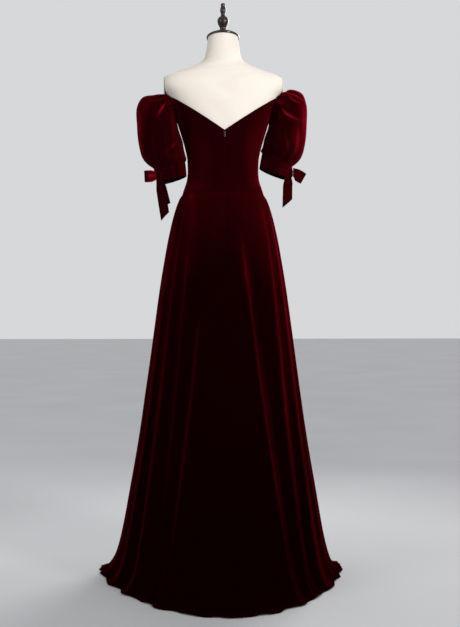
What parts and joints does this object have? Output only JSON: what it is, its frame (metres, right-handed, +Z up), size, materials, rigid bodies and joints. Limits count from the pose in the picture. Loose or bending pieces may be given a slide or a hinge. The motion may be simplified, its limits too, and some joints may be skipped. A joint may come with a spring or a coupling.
{
  "type": "prom dress on a dress form",
  "caption": "Floor-length off-the-shoulder velvet gown with puff sleeves, tied sleeve bands, back zip and short train, on a limbless dress form with a round base.",
  "frame": {"origin": "the middle of the stand's base on the floor, below the dress form's axis", "axes": "+Z up, -Y the back of the dress with the zip, +X the wearer's right"},
  "size_m": [0.7491, 0.7604, 1.7205],
  "materials": {
    "velvet": "wine-red silk-like pile velvet, near black in the folds, crimson sheen on the ridges",
    "ribbon": "wine-red velvet ribbon",
    "zip": "dark wine nylon coil",
    "metal": "small nickel-plated slider and pull",
    "form_cover": "cream jersey cover, fine knit",
    "dark_wood": "dark lacquered turned wood",
    "steel": "black powder coat, satin"
  },
  "bodies": {
    "dress": {"bodice_back_left": "velvet", "bodice_back_right": "velvet", "bodice_front_side_right": "velvet", "bodice_front_centre": "velvet", "bodice_front_side_left": "velvet", "skirt_back_left": "velvet", "skirt_back_right": "velvet", "skirt_front": "velvet", "sleeve_right": "velvet", "sleeve_left": "velvet", "sleeve_band_right": "ribbon", "sleeve_band_left": "ribbon", "bow_knot_right": "ribbon", "bow_loop_outer_right": "ribbon", "bow_loop_inner_right": "ribbon", "bow_tail_long_right": "ribbon", "bow_tail_short_right": "ribbon", "bow_knot_left": "ribbon", "bow_loop_outer_left": "ribbon", "bow_loop_inner_left": "ribbon", "bow_tail_long_left": "ribbon", "bow_tail_short_left": "ribbon", "zip_chain": "zip", "zip_slider": "metal", "form_torso": "form_cover", "form_arm_plate_right": "form_cover", "form_arm_plate_left": "form_cover", "form_neck_cap": "dark_wood", "form_finial": "dark_wood", "stand_base": "steel", "stand_pole": "steel"},
    "pull": {"zip_pull": "metal"}
  },
  "joints": [
    {"name": "zip_pull_hinge", "type": "hinge", "parent": "dress", "child": "pull", "pos_m": [0, -0.09754, 1.3182], "axis": [-1, 0, 0], "range_deg": [0, 150]}
  ]
}
